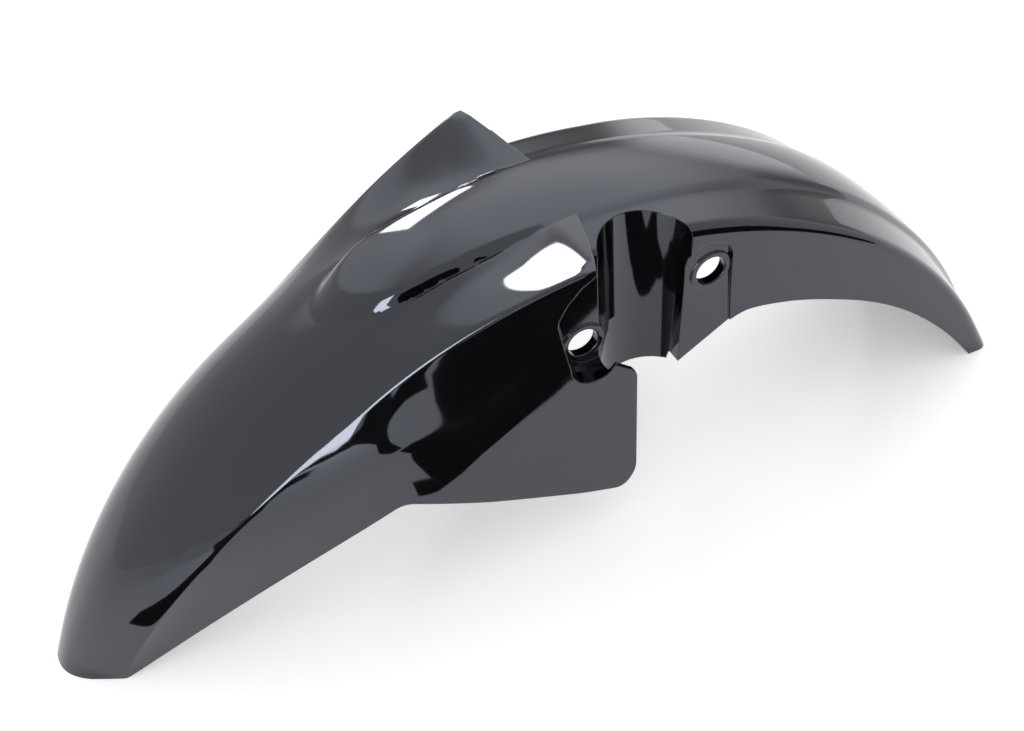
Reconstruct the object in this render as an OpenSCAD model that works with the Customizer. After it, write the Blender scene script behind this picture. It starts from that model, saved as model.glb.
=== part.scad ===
// Front mudguard of a light motorcycle, moulded in one piece.
// X points to the nose, Y to the rider's left, Z up from the ground it stands on.
// The shell is an outer body less the same body drawn one wall smaller, d in the modules below.
// Angles along the arch are taken from the vertical at the arch centre, nose side positive.
// Side views are drawn in X and Z with X from the arch centre, radii are from that centre too.

/* [Wall] */
// Thickness of the moulded wall, mm
wall = 2.6; // [2.2:0.1:3.2]

/* [Arch] */
// Length over all, from the nose tip to the tail, mm
overall_length = 653.4; // [650:0.2:657]
// Radius of the two crown ridges about the arch centre, mm
ridge_radius = 366; // [360:1:372]
// Depth of the arch centre below the ground, mm
centre_drop = 148; // [144:1:152]
// Rise of the crown between the ridges, mm
crown_rise = 3; // [2:0.5:5]
// Half width between the ridges over the rear half, mm
ridge_half_width = 25; // [22:0.5:28]
// Extra half width of the raised panel over the fork, mm
panel_extra = 3.5; // [2:0.5:5]
// Angle at which the raised panel ends toward the nose, degrees
panel_end = 19.8; // [19:0.2:21]
// Height of the ledge beside the raised panel, mm
ledge_height = 5; // [3:0.5:7]

/* [Rear] */
// Angle of the tail end of the shell, degrees
tail_angle = 68; // [66:0.5:70]
// Half width of the side walls beside the fork, mm
rear_half_width = 57.5; // [56.5:0.5:58.5]
// Half width of the side walls at the tail, mm
tail_half_width = 71.5; // [68:0.5:75]
// Drop of the shoulder below the ridge beside the fork, mm
shoulder_drop = 5.5; // [4.5:0.5:7.5]
// Further drop of the shoulder at the tail, mm
tail_drop = 10; // [8:0.5:12]
// Sink of the crown at the tail, mm
tail_sink = 2.5; // [1:0.5:4]

/* [Nose] */
// Angle of the nose end of the shell, degrees
nose_angle = 68; // [66:0.5:70]
// Half width of the crest at the nose, mm
nose_half_width = 30; // [27:0.5:33]
// Half width of the crest where the wing begins, mm
crest_half_width = 56.5; // [54:0.5:59]
// Radius of the crest line at the nose, mm
nose_crest_radius = 326; // [322:1:330]
// Radius of the crest line where the wing begins, mm
mid_crest_radius = 335.5; // [332:0.5:339]
// Drop of the nose centre line below the panel foot, mm
nose_drop = 10; // [7:0.5:13]

/* [Wing] */
// Angle at which the wing starts to grow, degrees
wing_start = 25; // [23:0.5:27]
// Half width at the wing tip, mm
wing_half_width = 81.5; // [79:0.5:84]
// Radius of the crest line at the wing tip, mm
wing_crest_radius = 375; // [372:0.5:378]
// Setback of the wing tip behind the arch centre, mm
wing_setback = 8; // [6:0.5:10]
// Half width across the ear plates, mm
ear_half_width = 72; // [70:0.5:74]
// Depth of the sunken facet between the ear plate and the wing, mm
facet_depth = 5.5; // [4:0.5:6.5]

/* [Fork] */
// Distance of the fork axis behind the arch centre, mm
fork_setback = 51; // [49:0.5:53]
// Distance of the fork axis from the middle plane, mm
fork_half_spacing = 66.4; // [65:0.2:68]
// Radius of the fork channel, mm
channel_radius = 31.3; // [29:0.1:33]
// Height of the lower rim of the channel, mm
channel_rim = 94; // [91:0.5:97]
// Half width across the bolt pads, mm
pad_half_width = 56; // [55.5:0.1:57]
// Height of the top of the right channel, under the shoulder, mm
right_channel_top = 192; // [188:1:196]
// Radius of the recess round the front bolt, mm
recess_radius = 16; // [15:0.5:17]

/* [Bolts] */
// Diameter of the four bolt holes, mm
bolt_hole = 19; // [17:0.5:20]
// Distance of the front bolts behind the arch centre, mm
front_bolt_setback = 11; // [10:0.5:12]
// Height of the front bolts, mm
front_bolt_height = 149.5; // [148:0.5:151]
// Distance of the rear bolts behind the arch centre, mm
rear_bolt_setback = 95; // [94:0.5:96]
// Height of the rear bolts, mm
rear_bolt_height = 165; // [163:0.5:167]
// Radius of the head of the rear lug, mm
lug_radius = 15.5; // [14.5:0.5:16]
// Radius of the raised collar round each bolt hole, mm
collar_radius = 13.5; // [12.5:0.5:14]
// Depth of the collars from the raised face inward, mm
collar_depth = 6; // [4.5:0.5:7]
// Height of the raised face of the collars above the bolt pads, mm
collar_height = 1; // [0.5:0.1:1.5]

/* [Rim] */
// Slope of the lower rim from the nose to the notch, degrees
nose_rim_slope = 28.5; // [28:0.1:29]
// Distance of the notch in the lower rim ahead of the arch centre, mm
notch_lead = 112; // [109:0.5:115]
// Height of the notch, mm
notch_height = 94; // [92:0.5:96]
// Height of the lower corner of the ear, mm
ear_foot_height = 29; // [26:0.5:32]
// Setback of the rear edge of the ear, mm
ear_setback = 37.5; // [36:0.5:39]
// Height of the upper corner of the ear, mm
ear_head_height = 123; // [121:0.5:125]

/* [Resolution] */
// Angle between two stations of the sweeps, degrees
station_step = 3; // [2.5:0.5:4]

/* [Hidden] */
$fn = 72;
// how far the cutting prisms reach past the part
reach = 200;
sky = 260;
// radius at which the bodies end inside the wheel space
low_radius = 130;
// sideways lean of the recess round the front bolt
recess_lean = 0.35;
// angle over which the raised panel is rounded off at its front end
panel_round = 8;
// distance from the arch centre to the middle of the whole length
middle_shift = 8.45;
// foot of the tail end, where the lower rim meets the ground
tail_rim = [-303, 0];

function clamp01(v) = min(1, max(0, v));
function ease(v) = let (c = clamp01(v)) c * c * (3 - 2 * c);
function mix(a, b, k) = a + (b - a) * k;
function bend(a, b, c, k) = a * (1 - k) * (1 - k) + b * 2 * k * (1 - k) + c * k * k;
function at(t, y, r) = [r * sin(t), y, r * cos(t) - centre_drop];
function stations(a, b) = let (n = ceil((b - a) / station_step)) [for (i = [0 : n]) a + (b - a) * i / n];

// half width of the raised panel and rear crown at angle t, and its rounding at the front end
function panel_half(t) = ridge_half_width + panel_extra * (ease((t + 30) / 27) - 0.6 * ease(t / 13));
function rounding(t, length) = pow(1 - pow(clamp01((t - panel_end + panel_round) / length), 2), 0.6);

// half width at the shoulder, and the inward lean of the side wall behind the fork axis
function rear_width(t) = mix(tail_half_width, rear_half_width, pow(clamp01(1 + (t + 12) / 56), 1.1));
function wall_lean(t) = t > -8 ? 0 : 0.045;

// rear body: crown, ridge, sloping band, shoulder and side wall; only the raised panel ahead of the wing edge
function rear_half(t, d) = let (
    panel = t > 0,
    top = panel_half(t) * rounding(t, panel_round - 1.4),
    p = max(0.4, top - d * (panel ? 1 : 0.3)),
    sink = tail_sink * ease((-t - 30) / 18),
    fall = (ledge_height + 2) * pow(clamp01((t - panel_end + 2.4) / 2.4), 1.5)
        + 1.5 * ease((t - panel_end + 5) / 5),
    r = ridge_radius - d - fall - sink,
    w = panel ? max(p + 0.3, panel_half(t) * rounding(t, panel_round) - d + 0.6) : rear_width(t) - d,
    s = panel ? min(ridge_radius - ledge_height - 2 - d, r - 0.8)
        : ridge_radius - d - shoulder_drop - tail_drop * pow(clamp01((-t - 14) / 48), 1.25),
    e = panel ? 0.2 : 7,
    rise = crown_rise * (1 - 0.6 * ease((t - 5) / 12))
) concat(
    [for (k = [0 : 4]) [p * k / 4, r + rise * (1 - k * k / 16)]],
    [[mix(p, w, 0.5), mix(r, s, panel ? 0.4 : 0.5)]],
    [for (k = [0 : 2]) bend([w - e, s + e / 4], [w, s], [w, s - e], k / 2)],
    panel ? [[w, r - 40]] : [[w - wall_lean(t) * (s - low_radius - 60), low_radius + 60 - d]]
);

// front body: nose, shoulder crest, wing, side wall and ear plate
wing_tip_angle = -asin(wing_setback / wing_crest_radius);
function wing_k(t) = clamp01((wing_start - t) / (wing_start - wing_tip_angle));
function taper_k(t) = clamp01((t - wing_start) / (63 - wing_start));
function crest_y(t) = crest_half_width - (crest_half_width - nose_half_width) * pow(taper_k(t), 2.2)
    + (wing_half_width - crest_half_width) * pow(wing_k(t), 1.38);
function crest_r(t) = mix(mid_crest_radius, nose_crest_radius, taper_k(t))
    + (wing_crest_radius - mid_crest_radius) * pow(wing_k(t), 1.12);
function centre_r(t) = ridge_radius - ledge_height * mix(0.55, 1, ease((t + 4) / 10))
    - nose_drop * pow(clamp01((t - 18) / 47), 1.5);
function wall_y(t) = ear_half_width - 0.96 * 3 * ln(1 + exp((t - 22) / 3));
function crease_r(t) = (centre_drop + 147.5) / (cos(t) + 0.577 * sin(t));
function top_power(t) = mix(1.35, 2.3, ease((t + 3) / 28));
function facet(t) = facet_depth * ease((t + 2) / 6) * (1 - ease((t - 14) / 12));
function front_half(t, d) = let (
    yc = crest_y(t) - d,
    rc = crest_r(t) - d,
    r0 = centre_r(t) - d,
    n = top_power(t),
    yf = wall_y(t) - d,
    rf = crease_r(t),
    e = mix(4, 3, wing_k(t)),
    u1 = 1 - e / yc,
    top = [yc * u1, r0 + (rc - r0) * pow(u1, n)],
    knee = [mix(mix(yc, yf, 0.5), yf, taper_k(t) * 0.6 + 0.2) - facet(t), mix(rc, rf, 0.45)],
    side = [yc, rc] + (knee - [yc, rc]) * (e / norm(knee - [yc, rc]))
) concat(
    [for (k = [0 : 6]) let (u = u1 * k / 7) [yc * u, r0 + (rc - r0) * pow(u, n)]],
    [for (k = [0 : 3]) bend(top, [yc, rc], side, k / 3)],
    [for (k = [1 : 3]) bend(side, knee, mix(knee, [yf, rf], 0.35), k / 3)],
    [[yf, rf], [yf, low_radius + 20 - d]]
);

// closed ring of points at angle t from a half section
function ring(t, half) = let (n = len(half)) concat(
    [for (i = [0 : n - 1]) at(t, half[i][0], half[i][1])],
    [for (i = [n - 1 : -1 : 1]) at(t, -half[i][0], half[i][1])]
);

// solid through a row of rings
module loft(rings) {
    m = len(rings);
    n = len(rings[0]);
    polyhedron(
        points = [for (s = rings) each s],
        faces = concat(
            [[for (i = [n - 1 : -1 : 0]) i]],
            [[for (i = [0 : n - 1]) (m - 1) * n + i]],
            [for (j = [0 : m - 2]) for (i = [0 : n - 1]) let (k = (i + 1) % n)
                [j * n + i, j * n + k, (j + 1) * n + k, (j + 1) * n + i]]
        ),
        convexity = 8
    );
}

module rear_body(d) {
    last = panel_end - d / 6;
    loft([for (t = concat(stations(-tail_angle - d / 3, -0.4), stations(0.4, last - panel_round),
            [for (k = [1 : 8]) last - panel_round * (1 - sin(90 * k / 8))]))
        ring(t, rear_half(t, d))]);
}

module front_body(d) {
    loft([for (t = stations(-20 + d / 3, nose_angle + d / 3)) ring(t, front_half(t, d))]);
}

// both sides of a solid drawn on the left
module both_sides() {
    children();
    mirror([0, 1, 0]) children();
}

// prism across the part from a drawing in side view, from y0 outward
module side_prism(y0, y1) {
    translate([0, y1, 0]) rotate([90, 0, 0]) linear_extrude(y1 - y0) children();
}

module bodies(d) {
    rear_body(d);
    difference() {
        front_body(d);
        wing_back(d);
    }
}

// space behind the wing, seen from above, and behind the ear
module wing_back(d) {
    both_sides() translate([d, 0, front_bolt_height]) linear_extrude(sky) polygon([
        [-reach, -1], [-25, -1], [-25, ridge_half_width + panel_extra - 1], [-16, 58],
        [-wing_setback, wing_half_width], [-wing_setback + 3, reach], [-reach, reach]
    ]);
    translate([-ear_setback - reach - (d > 0 ? 22 : 0), -reach, -reach])
        cube([reach, 2 * reach, reach + front_bolt_height + 1]);
}

// side view of the space outboard of the front pad, in the plane of the ear plate
module recess_outline() {
    polygon([
        [-62, sky], [-10.5, sky], [-10.5, 221], [-2, 214.5], [6.3, 203],
        [11.5, 191.7], [12.3, 187], [9.7, 171], [recess_radius - front_bolt_setback, front_bolt_height],
        [-front_bolt_setback, front_bolt_height], [-25, 137], [-34, 129], [-ear_setback, ear_head_height],
        [-62, ear_head_height]
    ]);
    translate([-front_bolt_setback, front_bolt_height - 1]) circle(recess_radius);
}

module recess(d) {
    multmatrix([[1, recess_lean, 0, -recess_lean * ear_half_width], [0, 1, 0, 0], [0, 0, 1, 0], [0, 0, 0, 1]])
        side_prism(pad_half_width - d, reach) offset(delta = d) recess_outline();
}

// fork channel, above the ear plate
module channel(d) {
    difference() {
        translate([-fork_setback, fork_half_spacing, channel_rim - 1])
            cylinder(r = channel_radius + d, h = sky);
        if (d == 0) translate([-ear_setback - 1, ear_half_width - wall, channel_rim - 2])
            cube([reach, reach, ear_head_height + 18 - channel_rim]);
    }
}

// fork spaces of both sides; on the right the shoulder runs on over the channel
module fork_spaces(d) {
    recess(d);
    channel(d);
    mirror([0, 1, 0]) difference() {
        union() {
            recess(d);
            channel(d);
        }
        translate([-2 * reach - 16, 0, right_channel_top + d]) cube([2 * reach, reach, sky]);
    }
}

// side view of everything above the lower rim
module rim_outline() {
    polygon([
        [400, 0], [notch_lead + notch_height / tan(nose_rim_slope), 0], [notch_lead, notch_height],
        [60, 67], [0, 38.5], [-ear_setback + 16, ear_foot_height], [-ear_setback + 3, ear_foot_height + 2.5],
        [-ear_setback, ear_foot_height + 10], [-ear_setback, channel_rim], [-74, channel_rim],
        [-75, 100], [-111, 118.5], [-125, 121.5], [-154, 115], [-183, 103.5], [-211, 89.5], [-237, 72],
        [-261, 50.7], [-282.5, 27], tail_rim, [-400, 0], [-400, sky], [400, sky]
    ]);
}

// side view of the rear bolt lug
module lug_outline() {
    hull() {
        translate([-rear_bolt_setback + 2, rear_bolt_height + 7]) circle(lug_radius);
        polygon([[-75, 90], [-111.5, 90], [-108.5, rear_bolt_height + 5]]);
    }
}

// a solid drawn along Z, laid outward from y0 at each of the four bolts
module at_bolts(y0) {
    for (p = [[-front_bolt_setback, front_bolt_height], [-rear_bolt_setback, rear_bolt_height]])
        both_sides() translate([p[0], y0, p[1]]) rotate([-90, 0, 0]) children();
}

// the moulded shell without collars and bolt holes, made to the length over all
module shell() {
    resize([overall_length, 0, 0])
    intersection() {
        difference() {
            union() {
                difference() {
                    bodies(0);
                    fork_spaces(0);
                    both_sides() side_prism(pad_half_width, reach) lug_outline();
                }
                both_sides() side_prism(44, pad_half_width) lug_outline();
            }
            difference() {
                bodies(wall);
                fork_spaces(wall);
                both_sides() side_prism(pad_half_width - wall, reach) offset(delta = wall) lug_outline();
            }
        }
        side_prism(-reach, reach) rim_outline();
    }
}

module mudguard() {
    color([0.02, 0.02, 0.022]) difference() {
        union() {
            shell();
            at_bolts(pad_half_width + collar_height - collar_depth)
                cylinder(r = collar_radius, h = collar_depth);
        }
        at_bolts(ridge_half_width) cylinder(d = bolt_hole, h = reach);
    }
}

translate([middle_shift, 0, 0]) mudguard();
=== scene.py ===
"""Front mudguard of a light motorcycle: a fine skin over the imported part, on a pale studio floor.

The shell is drawn with the same sections as the part's source, at a finer step and with rounded folds.
Lengths in the shape functions are in millimetres, X from the arch centre, radii from the arch centre.
Angles t along the arch are in degrees from the vertical, nose side positive.
"""

import math

import bpy
from mathutils import Matrix, Vector

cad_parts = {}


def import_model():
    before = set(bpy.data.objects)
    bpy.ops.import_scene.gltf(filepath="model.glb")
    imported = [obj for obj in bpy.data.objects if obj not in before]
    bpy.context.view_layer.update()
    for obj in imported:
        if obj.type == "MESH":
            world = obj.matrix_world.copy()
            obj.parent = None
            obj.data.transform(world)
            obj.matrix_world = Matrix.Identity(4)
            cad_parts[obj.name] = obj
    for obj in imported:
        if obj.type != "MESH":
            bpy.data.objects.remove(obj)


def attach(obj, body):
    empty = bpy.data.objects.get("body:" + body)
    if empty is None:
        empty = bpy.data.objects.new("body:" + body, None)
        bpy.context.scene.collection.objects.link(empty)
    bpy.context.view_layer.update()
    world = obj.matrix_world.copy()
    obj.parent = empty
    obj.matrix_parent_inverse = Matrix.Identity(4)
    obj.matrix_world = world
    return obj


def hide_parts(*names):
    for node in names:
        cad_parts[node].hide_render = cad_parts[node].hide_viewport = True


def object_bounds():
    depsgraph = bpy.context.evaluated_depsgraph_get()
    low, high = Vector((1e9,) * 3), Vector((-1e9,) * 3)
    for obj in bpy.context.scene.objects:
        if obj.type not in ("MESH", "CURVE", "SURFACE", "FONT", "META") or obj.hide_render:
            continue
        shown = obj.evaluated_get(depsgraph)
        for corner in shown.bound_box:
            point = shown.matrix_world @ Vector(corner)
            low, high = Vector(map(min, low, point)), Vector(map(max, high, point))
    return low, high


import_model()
cad_low, cad_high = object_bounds()

# Arch and raised panel, mm
WALL = 2.6
CENTRE_DROP = 148.0        # the arch centre lies this far below the ground
MIDDLE_SHIFT = 8.45        # from the arch centre to the middle of the whole length
RIDGE_RADIUS = 366.0
LEDGE = 5.0                # height of the raised panel over the nose
CROWN_RISE = 2.4
PANEL_HALF = 25.0
PANEL_EXTRA = 3.0
PANEL_START = 11.5         # angle at which the panel's front end begins
PANEL_LENGTH = 8.3         # angle that the front end spans
PANEL_SLOPE = 3.2          # width of the panel's sloping side
PANEL_DIP = 1.0
CROWN_GAP = 0.06
RIDGE_SOFT = 2.5
DISH = 1.5                 # hollow between the panel and the crest
GROOVE = 0.7               # groove at the panel's foot
GROOVE_WIDTH = 1.1

# Rear body, mm
TAIL_ANGLE = 68.0
REAR_HALF = 57.5
TAIL_HALF = 71.5
SHOULDER_DROP = 5.5
TAIL_DROP = 10.0
TAIL_SINK = 2.5
FOOT_WIDTH = 6.0           # foot of the ridge, and its share of the way down to the shoulder
FOOT_SHARE = 0.36
SHOULDER_IN = 7.0          # rounding of the shoulder, inward and down
SHOULDER_DOWN = 6.0
WALL_LEAN = 0.045
REAR_LOW = 190.0           # radius at which the side walls end inside the wheel space

# Nose, crest and wings, mm
NOSE_ANGLE = 68.0
NOSE_HALF = 30.0
CREST_HALF = 56.5
NOSE_CREST = 326.0
MID_CREST = 335.5
NOSE_DROP = 10.0
CREST_ABOVE = 3.0          # rounding of the crest, on its upper side, more at the nose, and below it
CREST_EXTRA = 10.0
CREST_BELOW = 2.5
WING_START = 25.0          # angle
WING_BLEND = 0.12          # softness of the wing's start
WING_HALF = 81.5
WING_CREST = 375.0
WING_SETBACK = 8.0
FACET = 3.2                # hollow of the flank below the wing
CREASE_HEIGHT = 147.5      # upper end of the side wall, a line that slopes down to the nose
CREASE_SLOPE = 0.577
FRONT_LOW = 150.0

# Fork space, ear plates and bolts, mm
EAR_HALF = 72.0
EAR_SETBACK = 37.5
EAR_HEAD = 123.0
EAR_FOOT = 29.0
FORK_SETBACK = 51.0
FORK_HALF = 66.4
CHANNEL_RADIUS = 31.3
CHANNEL_RIM = 94.0
RIGHT_CHANNEL_TOP = 192.0
PAD_HALF = 56.0
RECESS_RADIUS = 16.0
RECESS_LEAN = 0.35
BOLT_HOLE = 19.0
COLLAR_RADIUS = 13.5
COLLAR_INNER = 51.0        # depths at which the collars start and end, from the middle
COLLAR_FACE = 57.0
FRONT_BOLT = (-11.0, 149.5)
REAR_BOLT = (-95.0, 165.0)
LUG_RADIUS = 15.5

# How far cutting shapes reach past the part, sideways and up, mm
REACH = 200.0
SKY = 260.0

# Angles along the arch where the forms change; a pair is a start and the span after it
TAPER_END = 63.0
FLARE_START = -12.0
LEAN_START = -8.0
TAIL_DROP_RUN = (14.0, 48.0)
NOSE_DROP_RUN = (18.0, 47.0)
TAIL_SINK_RUN = (30.0, 18.0)
PANEL_SPREAD = (-30.0, 27.0)
PANEL_PINCH = (0.0, 13.0)
PANEL_DIP_RUN = (12.0, 8.0)
CROWN_FALL_AHEAD = (5.0, 12.0)
CROWN_FALL_BEHIND = (34.0, 16.0)
LEDGE_RUN = (-4.0, 10.0)
SWEEP_RUN = (-3.0, 28.0)
DISH_RISE = (-2.0, 5.0)
DISH_FADE = (12.0, 10.0)
GROOVE_RISE = (1.0, 4.0)
FACET_RISE = (-2.0, 6.0)
FACET_FADE = (14.0, 12.0)
UPRIGHT_RUN = (13.0, 11.0)
CREST_SWELL = (8.0, 14.0)
CREST_EASE = (28.0, 14.0)
CROWN_CROSSING = (-3.8, 2.6)

# The side wall narrows ahead of this angle, softly, by so many millimetres a degree
NARROW_START = 22.0
NARROW_SOFT = 3.0
NARROW_RATE = 0.96


# Small helpers for shapes

def clamp01(v):
    return min(1.0, max(0.0, v))


def ease(v):
    c = clamp01(v)
    return c * c * (3 - 2 * c)


def run(v, start, span):
    """Plain share of the way from start across span."""
    return clamp01((v - start) / span)


def over(v, start, span):
    """Eased share of the way from start across span."""
    return ease((v - start) / span)


def mix(a, b, k):
    return a + (b - a) * k


def bend(a, b, c, k):
    """Point of the curve that leaves a toward b and arrives at c."""
    return tuple(p * (1 - k) ** 2 + q * 2 * k * (1 - k) + r * k * k for p, q, r in zip(a, b, c))


def swing(a, b, c, n):
    """The n points after a of the curve that leaves a toward b and arrives at c."""
    return [bend(a, b, c, k / n) for k in range(1, n + 1)]


def line(a, b, n):
    """The n points after a of the straight line to b."""
    return [tuple(mix(p, q, k / n) for p, q in zip(a, b)) for k in range(1, n + 1)]


def steps(a, b, size):
    n = max(1, math.ceil((b - a) / size))
    return [a + (b - a) * i / n for i in range(n + 1)]


def at(t, y, r):
    a = math.radians(t)
    return (r * math.sin(a), y, r * math.cos(a) - CENTRE_DROP)


# Sections

def panel_half(t):
    """Half width of the raised panel and of the rear crown."""
    return PANEL_HALF + PANEL_EXTRA * (over(t, *PANEL_SPREAD) - 0.5 * over(t, *PANEL_PINCH))


def crown_radius(t, y, half):
    rise = CROWN_RISE * (1 - 0.5 * over(t, *CROWN_FALL_AHEAD)) * (1 - 0.5 * over(-t, *CROWN_FALL_BEHIND))
    sink = TAIL_SINK * over(-t, *TAIL_SINK_RUN)
    return RIDGE_RADIUS - sink + rise * (1 - min(1.0, abs(y) / half) ** 2)


def rear_width(t):
    return mix(TAIL_HALF, REAR_HALF, clamp01((t + TAIL_ANGLE) / (TAIL_ANGLE + FLARE_START)) ** 1.1)


def rear_section(t, d, fine):
    """Half section of the rear body: crown, ridge, sloping band, shoulder, side wall."""
    p = panel_half(t)
    w = rear_width(t)
    s = RIDGE_RADIUS - SHOULDER_DROP - TAIL_DROP * run(-t, *TAIL_DROP_RUN) ** 1.25
    lean = 0 if t > LEAN_START else WALL_LEAN
    n = 14 if fine else 5
    q = p - RIDGE_SOFT
    crown = [(q * k / n, crown_radius(t, q * k / n, p)) for k in range(n + 1)]
    corner = (p, crown_radius(t, p, p))
    foot = (p + FOOT_WIDTH, mix(corner[1], s, FOOT_SHARE))
    near = (w - SHOULDER_IN, mix(foot[1], s, (w - SHOULDER_IN - foot[0]) / (w - foot[0])))
    side = (w - lean * SHOULDER_DOWN, s - SHOULDER_DOWN)
    low = (w - lean * (s - REAR_LOW), REAR_LOW)
    ridge = swing(crown[-1], corner, foot, 6)
    band = line(foot, near, 6)
    shoulder = swing(near, (w, s), side, 8)
    return inset(crown + ridge + band + shoulder + line(side, low, 4), d)


def wing_share(t):
    """From 0 ahead of the wing to 1 at its tip, with a soft start."""
    tip = -math.degrees(math.asin(WING_SETBACK / WING_CREST))
    share = (WING_START - t) / (WING_START - tip)
    return min(1.0, (share + math.hypot(share, WING_BLEND)) / 2)


def taper_share(t):
    """From 0 at the wing's start to 1 near the nose."""
    return clamp01((t - WING_START) / (TAPER_END - WING_START))


def crest(t):
    """Half width and radius of the crest line."""
    wing, taper = wing_share(t), taper_share(t)
    y = CREST_HALF - (CREST_HALF - NOSE_HALF) * taper ** 2.2 + (WING_HALF - CREST_HALF) * wing ** 1.38
    r = mix(MID_CREST, NOSE_CREST, taper) + (WING_CREST - MID_CREST) * wing ** 1.12
    return y, r


def front_top(t, y, yc, rc):
    """Radius of the front body's upper surface: the shoulder's sweep with the raised panel on it."""
    centre = RIDGE_RADIUS - LEDGE * mix(0.55, 1, over(t, *LEDGE_RUN))
    centre -= NOSE_DROP * run(t, *NOSE_DROP_RUN) ** 1.5
    power = mix(1.35, 2.3, over(t, *SWEEP_RUN))
    base = centre + (rc - centre) * (y / yc) ** power
    half = panel_half(t)
    lead = max(0.0, t - PANEL_START)
    out = clamp01((y - half) / (yc - half))
    dish = out * (1 - out) ** 2 * 27 / 4
    base -= DISH * dish * over(t, *DISH_RISE) * (1 - over(t, *DISH_FADE))
    foot = math.hypot(y / (half + 1.2), lead / PANEL_LENGTH)
    along = over(t, *GROOVE_RISE) * (1 - ease(lead / 4))
    base -= GROOVE * along * math.exp(-((foot - 1) * half / GROOVE_WIDTH) ** 2)
    if foot >= 1:
        return base
    inner = math.hypot(y / (half - PANEL_SLOPE), lead / (PANEL_LENGTH - 3.3))
    k = 0.0 if inner <= 1 else (inner - 1) / (inner - foot)
    # the crowns of the two bodies cross once, and never lie in each other
    apart = mix(-CROWN_GAP, CROWN_GAP, over(t, *CROWN_CROSSING))
    top = crown_radius(t, y, half) - PANEL_DIP * over(t, *PANEL_DIP_RUN) + apart
    return mix(top, base, k ** 2.2)


def facet(t):
    """How far the flank is hollowed beside the wing."""
    return FACET * over(t, *FACET_RISE) * (1 - over(t, *FACET_FADE))


def wall_half(t):
    """Half width of the ear plate and of the nose's side wall ahead of it."""
    return EAR_HALF - NARROW_RATE * NARROW_SOFT * math.log(1 + math.exp((t - NARROW_START) / NARROW_SOFT))


def crease_radius(t):
    """Radius of the side wall's upper end, a sloping straight line in side view."""
    a = math.radians(t)
    return (CENTRE_DROP + CREASE_HEIGHT) / (math.cos(a) + CREASE_SLOPE * math.sin(a))


def front_section(t, d, fine):
    """Half section of the front body: upper surface, crest, side wall."""
    yc, rc = crest(t)
    yf, rf = wall_half(t), crease_radius(t)
    above = CREST_ABOVE + CREST_EXTRA * over(t, *CREST_SWELL) * (1 - 0.5 * over(t, *CREST_EASE))
    upright = over(t, *UPRIGHT_RUN)
    bulge = mix(mix(yc, yf, 0.5), yf, taper_share(t) * 0.6 + 0.2) - facet(t)
    knee = (mix(bulge, yf - 0.8, upright), mix(rc, rf, mix(0.45, 0.22, upright)))
    reach = math.dist(knee, (yc, rc))
    side = tuple(mix(a, b, CREST_BELOW / reach) for a, b in zip((yc, rc), knee))
    third = tuple(mix(a, b, 0.35) for a, b in zip(knee, (yf, rf)))
    across, round_crest, round_knee, down = (64, 8, 16, 6) if fine else (9, 3, 4, 1)
    edge = yc - above
    top = [(edge * k / across, front_top(t, edge * k / across, yc, rc)) for k in range(across + 1)]
    fold = swing(top[-1], (yc, rc), side, round_crest)
    flank = swing(side, knee, third, round_knee) + line(third, (yf, rf), down)
    return inset(top + fold + flank + line((yf, rf), (yf, FRONT_LOW), 6), d)


def inset(half, d):
    """The same section, one wall smaller: inward in width, and lower."""
    if not d:
        return half
    widest = max(y for y, r in half)
    return [(y * (widest - d) / widest, r - d) for y, r in half]


# Solids

def solid(name, points, faces):
    mesh = bpy.data.meshes.new(name)
    mesh.from_pydata([tuple(p) for p in points], [], faces)
    mesh.update()
    obj = bpy.data.objects.new(name, mesh)
    bpy.context.scene.collection.objects.link(obj)
    return obj


def loft(name, sections):
    """Closed solid through mirrored half sections given as (t, half section)."""
    rings = []
    for t, half in sections:
        left = [at(t, y, r) for y, r in half]
        right = [at(t, -y, r) for y, r in reversed(half[1:])]
        rings.append(left + right)
    n = len(rings[0])
    points = [p for ring in rings for p in ring]
    faces = [list(range(n - 1, -1, -1)), [(len(rings) - 1) * n + i for i in range(n)]]
    for j in range(len(rings) - 1):
        for i in range(n):
            k = (i + 1) % n
            faces.append([j * n + i, j * n + k, (j + 1) * n + k, (j + 1) * n + i])
    return outward(solid(name, points, faces))


def prism(name, outline, y0, y1, lean=0.0):
    """Side-view outline (X, Z) carried across from y0 to y1, leaning by lean about the ear plate."""
    n = len(outline)
    points = [(x + lean * (y - EAR_HALF), y, z) for y in (y0, y1) for x, z in outline]
    faces = [list(range(n)), list(range(2 * n - 1, n - 1, -1))]
    faces += [[i, i + n, (i + 1) % n + n, (i + 1) % n] for i in range(n)]
    return outward(solid(name, points, faces))


def plan_prism(name, outline, z0, z1):
    """Plan outline (X, Y) carried up from z0 to z1."""
    n = len(outline)
    points = [(x, y, z) for z in (z0, z1) for x, y in outline]
    faces = [list(range(n - 1, -1, -1)), list(range(n, 2 * n))]
    faces += [[i, (i + 1) % n, (i + 1) % n + n, i + n] for i in range(n)]
    return outward(solid(name, points, faces))


def outward(obj):
    """Turns the faces of a closed solid outward."""
    mesh = obj.data
    volume = 0.0
    for face in mesh.polygons:
        corners = [mesh.vertices[i].co for i in face.vertices]
        for a, b in zip(corners[1:-1], corners[2:]):
            volume += corners[0].dot(a.cross(b))
    if volume < 0:
        mesh.flip_normals()
    return obj


def mirrored(obj):
    twin = obj.copy()
    twin.data = obj.data.copy()
    twin.data.transform(Matrix.Diagonal((1, -1, 1, 1)))
    twin.data.flip_normals()
    bpy.context.scene.collection.objects.link(twin)
    return twin


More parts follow.
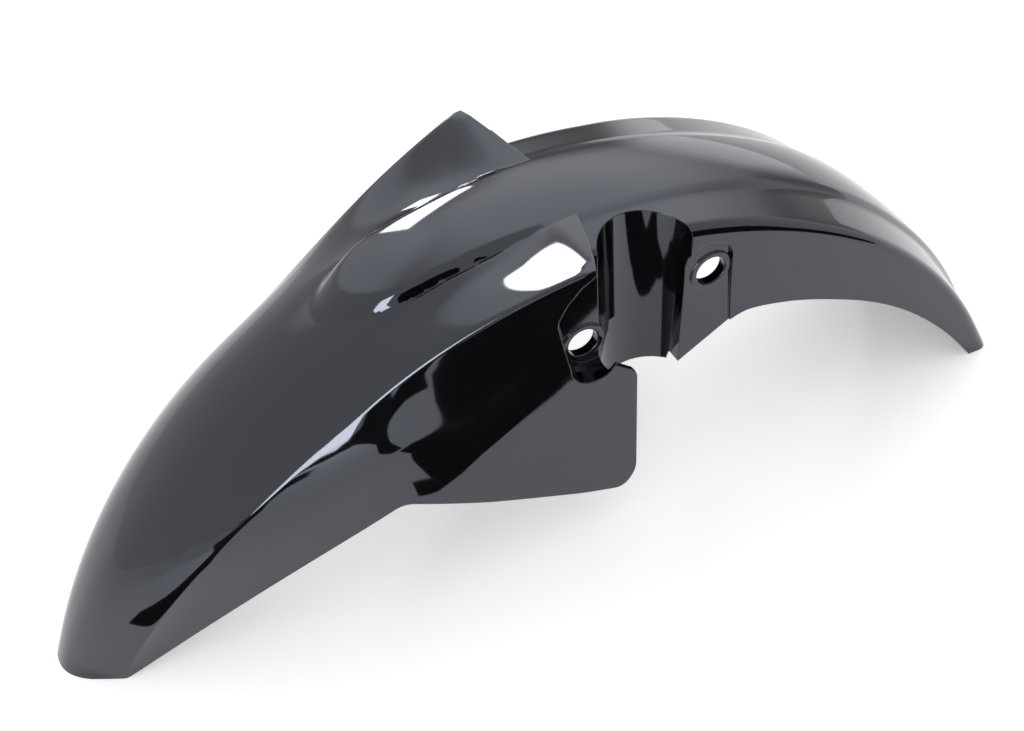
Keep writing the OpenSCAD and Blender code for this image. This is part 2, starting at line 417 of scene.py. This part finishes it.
def combine(base, others, operation):
    """Boolean of base with each of the others in turn; the others are used up."""
    for other in others:
        step = base.modifiers.new("step", "BOOLEAN")
        step.operation = operation
        step.solver = "MANIFOLD"
        step.object = other
        graph = bpy.context.evaluated_depsgraph_get()
        made = bpy.data.meshes.new_from_object(base.evaluated_get(graph), depsgraph=graph)
        base.modifiers.remove(step)
        base.data = made
        bpy.data.objects.remove(other)
    return base


def cylinder(x, y, z0, z1, radius, n=160):
    turns = [2 * math.pi * i / n for i in range(n)]
    ring = [(x + radius * math.cos(a), y + radius * math.sin(a)) for a in turns]
    return plan_prism("cylinder", ring, z0, z1)


def arc(cx, cz, radius, start, end, n):
    return [(cx + radius * math.cos(math.radians(mix(start, end, k / n))),
             cz + radius * math.sin(math.radians(mix(start, end, k / n)))) for k in range(n + 1)]


def rounded(outline, radius, n=6):
    """The closed outline with each corner rounded, as far as its sides allow."""
    out = []
    for i, b in enumerate(outline):
        a, c = outline[i - 1], outline[(i + 1) % len(outline)]
        back = math.dist(a, b)
        ahead = math.dist(b, c)
        cut_a = min(radius, back * 0.45) / back
        cut_c = min(radius, ahead * 0.45) / ahead
        start = tuple(mix(q, p, cut_a) for p, q in zip(a, b))
        end = tuple(mix(q, p, cut_c) for p, q in zip(c, b))
        out += [bend(start, b, end, k / n) for k in range(n + 1)]
    return out


def grown(outline, d):
    """The closed outline moved outward by d along its corner bisectors."""
    if not d:
        return outline
    area = sum(a[0] * b[1] - b[0] * a[1] for a, b in zip(outline, outline[1:] + outline[:1]))
    turn = 1 if area > 0 else -1
    out = []
    for i, b in enumerate(outline):
        a, c = outline[i - 1], outline[(i + 1) % len(outline)]
        u = Vector((b[0] - a[0], b[1] - a[1])).normalized()
        v = Vector((c[0] - b[0], c[1] - b[1])).normalized()
        normal = Vector((u[1] + v[1], -u[0] - v[0])) * turn
        size = 2 * d / max(0.6, normal.length) / max(0.3, normal.length)
        out.append((b[0] + normal[0] * size, b[1] + normal[1] * size))
    return out


# The mudguard

def rear_body(d, fine):
    size = 0.75 if fine else 2.0
    angles = steps(-TAIL_ANGLE - d / 3, -0.6, size)
    return loft("rear", [(t, rear_section(t, d, fine)) for t in angles])


def front_body(d, fine):
    size = 0.5 if fine else 2.0
    angles = steps(-20 + d / 3, NOSE_ANGLE + d / 3, size)
    return loft("front", [(t, front_section(t, d, fine)) for t in angles])


def wing_back(d):
    """Spaces behind the wing seen from above and behind the ear plates."""
    outline = [(-REACH, -1), (-25, -1), (-25, 27.5), (-16, 58), (-WING_SETBACK, WING_HALF),
               (-WING_SETBACK + 3, REACH), (-REACH, REACH)]
    low = FRONT_BOLT[1]
    left = plan_prism("wing back", [(x + d, y) for x, y in outline], low, low + SKY)
    back = -EAR_SETBACK - (22 if d else 0)
    square = [(back - REACH, -REACH), (back, -REACH), (back, REACH), (back - REACH, REACH)]
    return [left, mirrored(left), plan_prism("behind", square, -REACH, low + 1)]


def recess_outline():
    x, z = FRONT_BOLT
    edge = [(-62, SKY), (-10.5, SKY), (-10.5, 221), (-2, 214.5), (6.3, 203), (11.5, 191.7), (12.3, 187),
            (9.7, 171)]
    pocket = arc(x, z - 1, RECESS_RADIUS, 0, -141, 40)
    return edge + pocket + [(-34, 129), (-EAR_SETBACK, EAR_HEAD), (-62, EAR_HEAD)]


def fork_spaces(d):
    """Recess round the front bolt and fork channel, left and right."""
    recess = prism("recess", grown(recess_outline(), d), PAD_HALF - d, REACH, RECESS_LEAN)
    low = CHANNEL_RIM - 1
    channel = cylinder(-FORK_SETBACK, FORK_HALF, low, low + SKY + 1, CHANNEL_RADIUS + d)
    if not d:
        back, inside = -EAR_SETBACK - 1, EAR_HALF - WALL
        plate = [(back, inside), (REACH, inside), (REACH, REACH), (back, REACH)]
        channel = combine(channel, [plan_prism("ear", plate, low - 1, EAR_HEAD + 16)], "DIFFERENCE")
    left = combine(recess, [channel], "UNION")
    right = mirrored(left)
    x0, x1 = -2 * REACH - 16, -16
    shoulder = [(x0, -REACH), (x1, -REACH), (x1, 0), (x0, 0)]
    over_right = plan_prism("over right", shoulder, RIGHT_CHANNEL_TOP + d, 2 * SKY)
    return [left, combine(right, [over_right], "DIFFERENCE")]


def lug_outline():
    x, z = REAR_BOLT
    head = arc(x + 2, z + 7, LUG_RADIUS, -8, 188, 48)
    return head + [(-111.5, 90), (-75, 90)]


def rim_outline():
    """Side view of the space that the shell fills above its lower rim."""
    lead, height = 112, 94
    foot = lead + height / math.tan(math.radians(28.5))
    tail = curve([(-111, 118.5), (-125, 121.5), (-154, 115), (-183, 103.5), (-211, 89.5), (-237, 72),
                  (-261, 50.7), (-282.5, 27), (-303, 0)], 6)
    ear = [(-EAR_SETBACK + 9, EAR_FOOT - 1.5), (-EAR_SETBACK, EAR_FOOT + 10)]
    ahead = [(lead, height), (60, 67), (0, 38.5)] + ear
    soft = rounded([(foot, 0)] + ahead + [(-EAR_SETBACK, CHANNEL_RIM)], 7)[7:-7]
    rear = [(-EAR_SETBACK, CHANNEL_RIM), (-74, CHANNEL_RIM), (-75, 100)]
    return [(400, 0), (foot, 0)] + soft + rear + tail + [(-400, 0), (-400, SKY), (400, SKY)]


def curve(points, n):
    """Smooth line through the points."""
    out = []
    for i in range(len(points) - 1):
        around = [points[min(len(points) - 1, max(0, i + k))] for k in (-1, 0, 1, 2)]
        for k in range(n):
            u = k / n
            out.append(tuple(0.5 * (2 * b + (c - a) * u + (2 * a - 5 * b + 4 * c - e) * u ** 2
                                    + (3 * b - a - 3 * c + e) * u ** 3) for a, b, c, e in zip(*around)))
    return out + [points[-1]]


def turned(name, x, z, profile, n=128):
    """Solid of revolution about an axis along Y through (x, z), from a profile of (y, radius)."""
    points, faces = [], []
    for y, radius in profile:
        for i in range(n):
            a = 2 * math.pi * i / n
            points.append((x + radius * math.cos(a), y, z + radius * math.sin(a)))
    for j in range(len(profile) - 1):
        for i in range(n):
            k = (i + 1) % n
            faces.append([j * n + i, j * n + k, (j + 1) * n + k, (j + 1) * n + i])
    last = (len(profile) - 1) * n
    faces += [list(range(n - 1, -1, -1)), [last + i for i in range(n)]]
    return outward(solid(name, points, faces))


def fillet(y, radius, size, n=5):
    """Profile points of a rounded edge that ends at depth y, its radius growing or shrinking by size."""
    out = []
    for k in range(n + 1):
        a = math.radians(90 * k / n)
        out.append((y - abs(size) * (1 - math.sin(a)), radius - size * (1 - math.cos(a))))
    return out


def collars():
    profile = [(COLLAR_INNER, COLLAR_RADIUS)] + fillet(COLLAR_FACE, COLLAR_RADIUS, 0.8)
    out = []
    for x, z in (FRONT_BOLT, REAR_BOLT):
        ring = turned("collar", x, z, profile)
        out += [ring, mirrored(ring)]
    return out


def bolt_holes():
    radius, flare = BOLT_HOLE / 2, 0.7
    profile = [(25, radius)] + fillet(COLLAR_FACE, radius, -flare) + [(COLLAR_FACE + 1, radius + flare)]
    out = []
    for x, z in (FRONT_BOLT, REAR_BOLT):
        hole = turned("hole", x, z, profile)
        out += [hole, mirrored(hole)]
    return out


def shell():
    front = combine(front_body(0, True), wing_back(0), "DIFFERENCE")
    outer = combine(rear_body(0, True), [front], "UNION")
    lug = prism("lug", lug_outline(), PAD_HALF, REACH)
    outer = combine(outer, fork_spaces(0) + [lug, mirrored(lug)], "DIFFERENCE")
    boss = prism("boss", lug_outline(), 44, PAD_HALF)
    outer = combine(outer, [boss, mirrored(boss)], "UNION")
    front = combine(front_body(WALL, False), wing_back(WALL), "DIFFERENCE")
    inner = combine(rear_body(WALL, False), [front], "UNION")
    lug = prism("lug", grown(lug_outline(), WALL), PAD_HALF - WALL, REACH)
    inner = combine(inner, fork_spaces(WALL) + [lug, mirrored(lug)], "DIFFERENCE")
    outer = combine(outer, [inner], "DIFFERENCE")
    outer = combine(outer, collars(), "UNION")
    outer = combine(outer, bolt_holes(), "DIFFERENCE")
    rim = prism("rim", rim_outline(), -REACH, REACH)
    return combine(outer, [rim], "INTERSECT")


def place(obj):
    """From the arch centre in millimetres to the part's frame in metres, kept inside the part's box."""
    obj.data.transform(Matrix.Diagonal((0.001, 0.001, 0.001, 1)) @ Matrix.Translation((MIDDLE_SHIFT, 0, 0)))
    for vertex in obj.data.vertices:
        vertex.co = [min(h, max(l, c)) for c, l, h in zip(vertex.co, cad_low, cad_high)]
    return obj


def shade(obj):
    obj.data.shade_smooth()
    obj.data.set_sharp_from_angle(angle=math.radians(24))
    weighted = obj.modifiers.new("weighted normals", "WEIGHTED_NORMAL")
    weighted.keep_sharp = True
    weighted.weight = 60


# Materials

def gloss_black():
    material = bpy.data.materials.new("gloss black")
    material.use_nodes = True
    nodes, links = material.node_tree.nodes, material.node_tree.links
    shader = nodes["Principled BSDF"]
    shader.inputs["Base Color"].default_value = (0.0022, 0.0022, 0.0026, 1)
    shader.inputs["Roughness"].default_value = 0.05
    shader.inputs["IOR"].default_value = 1.68
    shader.inputs["Specular Tint"].default_value = (0.79, 0.85, 1.0, 1)
    edge = nodes.new("ShaderNodeBevel")
    edge.samples = 6
    edge.inputs["Radius"].default_value = 0.0009
    links.new(edge.outputs["Normal"], shader.inputs["Normal"])
    return material


def plain(name, colour, roughness):
    material = bpy.data.materials.new(name)
    material.use_nodes = True
    shader = material.node_tree.nodes["Principled BSDF"]
    shader.inputs["Base Color"].default_value = (*colour, 1)
    shader.inputs["Roughness"].default_value = roughness
    shader.inputs["Specular IOR Level"].default_value = 0.1
    return material


# Studio

PART_MIDDLE = Vector((0.0, 0.0, 0.15))
FLOOR_LIFT = 0.25
SKY_LEVEL = 0.85
# Broad soft changes of the white surroundings: azimuth, elevation, inner and outer radius, strength
GLOWS = ((-128, 44, 12, 34, 0.9), (-138, 2, 6, 16, 0.9), (-78, 41, 6, 16, 0.6), (-99, 23, 6, 14, -0.6),
         (-114, 8, 8, 16, -0.6), (-158, 6, 6, 14, -0.5))
# Plan outlines, in metres, of the black boards that show only in the gloss of the side walls
SIDE_FLAG = ((-1.6, 0.70), (-0.3, 0.30), (-0.05, 0.188), (0.0, 0.18), (0.04, 0.175), (0.06, 0.157),
             (0.085, 0.142), (0.104, 0.138), (0.10, 0.155), (0.082, 0.165), (0.076, 0.19), (0.068, 0.21),
             (0.08, 0.25), (0.05, 0.262), (0.0, 0.255), (-0.03, 0.28), (-0.15, 1.6), (-1.6, 1.6))
CREST_FLAG = ((0.07, 0.262), (0.10, 0.255), (0.13, 0.29), (0.145, 0.41), (0.20, 0.50), (0.30, 0.62),
              (0.9, 0.95), (1.6, 1.6), (0.4, 1.6), (0.11, 0.6), (0.098, 0.48), (0.088, 0.35))
NOSE_FLAG = ((0.235, 0.10), (0.26, 0.085), (0.36, 0.075), (0.385, 0.10), (0.395, 0.13), (0.42, 0.30),
             (0.9, 0.7), (0.6, 0.7), (0.30, 0.52), (0.262, 0.40), (0.25, 0.28), (0.232, 0.22))
# The photograph's focal length and width in pixels, and the camera's place and axes
FOCAL_PIXELS = 1514.52
PHOTO_WIDTH = 1024
SENSOR = 36.0
CAMERA_PLACE = (0.28295, 0.5844, 0.7572)
CAMERA_RIGHT = (-0.884953, 0.462758, -0.052090)
CAMERA_UP = (-0.366243, -0.622530, 0.691609)
CAMERA_BACK = (0.287620, 0.631119, 0.720392)


def card(name, centre, normal, width, height, material):
    """Flat rectangle facing along normal."""
    mesh = bpy.data.meshes.new(name)
    w, h = width / 2, height / 2
    mesh.from_pydata([(-w, -h, 0), (w, -h, 0), (w, h, 0), (-w, h, 0)], [], [[0, 1, 2, 3]])
    mesh.materials.append(material)
    obj = bpy.data.objects.new(name, mesh)
    obj.location = centre
    obj.rotation_mode = "QUATERNION"
    obj.rotation_quaternion = Vector(normal).to_track_quat("Z", "Y")
    bpy.context.scene.collection.objects.link(obj)
    return obj


def toward(azimuth, elevation):
    a, e = math.radians(azimuth), math.radians(elevation)
    return Vector((math.cos(a) * math.cos(e), math.sin(a) * math.cos(e), math.sin(e)))


def lamp(name, azimuth, elevation, distance, width, height, roll, radiance):
    """Soft box seen from the part in the given direction; roll turns it anticlockwise, in degrees."""
    light = bpy.data.lights.new(name, "AREA")
    light.shape = "RECTANGLE"
    light.size, light.size_y = width, height
    light.energy = radiance * math.pi * width * height
    obj = bpy.data.objects.new(name, light)
    away = toward(azimuth, elevation)
    side = Vector((-away[1], away[0], 0)).normalized()
    rise = away.cross(side)
    turn = Matrix((side, rise, away)).transposed() @ Matrix.Rotation(math.radians(roll), 3, "Z")
    obj.matrix_world = Matrix.Translation(away * distance + PART_MIDDLE) @ turn.to_4x4()
    bpy.context.scene.collection.objects.link(obj)
    return obj


def world():
    """White to the camera and in reflections, softer on what it lights, with broad soft glows."""
    made = bpy.data.worlds.new("studio")
    made.use_nodes = True
    nodes, links = made.node_tree.nodes, made.node_tree.links

    def math_node(operation, a, b):
        node = nodes.new("ShaderNodeMath")
        node.operation = operation
        for socket, value in zip(node.inputs, (a, b)):
            if isinstance(value, float):
                socket.default_value = value
            else:
                links.new(value, socket)
        return node.outputs[0]

    paths = nodes.new("ShaderNodeLightPath").outputs
    seen = math_node("MAXIMUM", paths["Is Glossy Ray"], paths["Is Transmission Ray"])
    seen = math_node("MAXIMUM", seen, paths["Is Camera Ray"])
    level = math_node("MULTIPLY_ADD", seen, 1.0 - SKY_LEVEL)
    level.node.inputs[2].default_value = SKY_LEVEL
    direction = nodes.new("ShaderNodeTexCoord").outputs["Generated"]
    for azimuth, elevation, inner, outer, strength in GLOWS:
        dot = nodes.new("ShaderNodeVectorMath")
        dot.operation = "DOT_PRODUCT"
        links.new(direction, dot.inputs[0])
        dot.inputs[1].default_value = toward(azimuth, elevation)
        glow = nodes.new("ShaderNodeMapRange")
        glow.interpolation_type = "SMOOTHSTEP"
        glow.inputs["From Min"].default_value = math.cos(math.radians(outer))
        glow.inputs["From Max"].default_value = math.cos(math.radians(inner))
        glow.inputs["To Max"].default_value = strength
        links.new(dot.outputs["Value"], glow.inputs["Value"])
        level = math_node("ADD", level, glow.outputs["Result"])
    links.new(level, nodes["Background"].inputs["Strength"])
    nodes["Background"].inputs["Color"].default_value = (1, 1, 1, 1)
    bpy.context.scene.world = made


def pale_floor():
    """White board that keeps shadows, lifted for the camera and in reflections."""
    material = plain("pale floor", (0.93, 0.93, 0.93), 0.8)
    nodes, links = material.node_tree.nodes, material.node_tree.links
    paths = nodes.new("ShaderNodeLightPath").outputs
    seen = nodes.new("ShaderNodeMath")
    seen.operation = "MAXIMUM"
    links.new(paths["Is Glossy Ray"], seen.inputs[0])
    links.new(paths["Is Camera Ray"], seen.inputs[1])
    through = nodes.new("ShaderNodeMath")
    through.operation = "MAXIMUM"
    links.new(seen.outputs[0], through.inputs[0])
    links.new(paths["Is Transmission Ray"], through.inputs[1])
    lift = nodes.new("ShaderNodeMath")
    lift.operation = "MULTIPLY"
    links.new(through.outputs[0], lift.inputs[0])
    lift.inputs[1].default_value = FLOOR_LIFT
    shader = nodes["Principled BSDF"]
    shader.inputs["Emission Color"].default_value = (1, 1, 1, 1)
    links.new(lift.outputs[0], shader.inputs["Emission Strength"])
    return material


def board(name, corners, z, material):
    """Flat level polygon of the stage."""
    mesh = bpy.data.meshes.new(name)
    mesh.from_pydata([(x, y, z) for x, y in corners], [], [list(range(len(corners)))])
    mesh.materials.append(material)
    obj = bpy.data.objects.new(name, mesh)
    bpy.context.scene.collection.objects.link(obj)
    return obj


def flag(obj):
    """Black board that only shows in the gloss of the part."""
    obj.visible_camera = False
    obj.visible_diffuse = False
    obj.visible_shadow = False


def studio():
    world()
    dark = plain("dark room", (0.003, 0.003, 0.003), 0.9)
    board("floor", [(-5, -5), (5, -5), (5, 5), (-5, 5)], 0, pale_floor())
    flag(board("dark_side", SIDE_FLAG, 0.002, dark))
    flag(board("dark_crest", CREST_FLAG, 0.003, dark))
    flag(board("dark_nose", NOSE_FLAG, 0.004, dark))
    flag(card("dark_wall", (-0.6, 1.6, 0.25), (0, -1, 0), 2.0, 0.5, dark))
    lamp("window", azimuth=-96.5, elevation=31.4, distance=2.0, width=0.6, height=0.19, roll=36, radiance=14)
    lamp("strip", azimuth=56, elevation=8, distance=0.9, width=0.22, height=0.55, roll=0, radiance=10)


def camera():
    """The photograph's camera, solved from the part's outlines."""
    data = bpy.data.cameras.new("camera")
    data.sensor_width = SENSOR
    data.lens = FOCAL_PIXELS / PHOTO_WIDTH * SENSOR
    data.clip_start, data.clip_end = 0.01, 50
    obj = bpy.data.objects.new("camera", data)
    turn = Matrix((CAMERA_RIGHT, CAMERA_UP, CAMERA_BACK)).transposed().to_4x4()
    obj.matrix_world = Matrix.Translation(CAMERA_PLACE) @ turn
    bpy.context.scene.collection.objects.link(obj)
    bpy.context.scene.camera = obj


def build():
    guard = place(shell())
    guard.name = "mudguard_skin"
    guard.data.materials.clear()
    guard.data.materials.append(gloss_black())
    shade(guard)
    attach(guard, "root")
    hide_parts("mudguard")


build()
studio()
camera()
bpy.context.scene.view_settings.view_transform = "Standard"
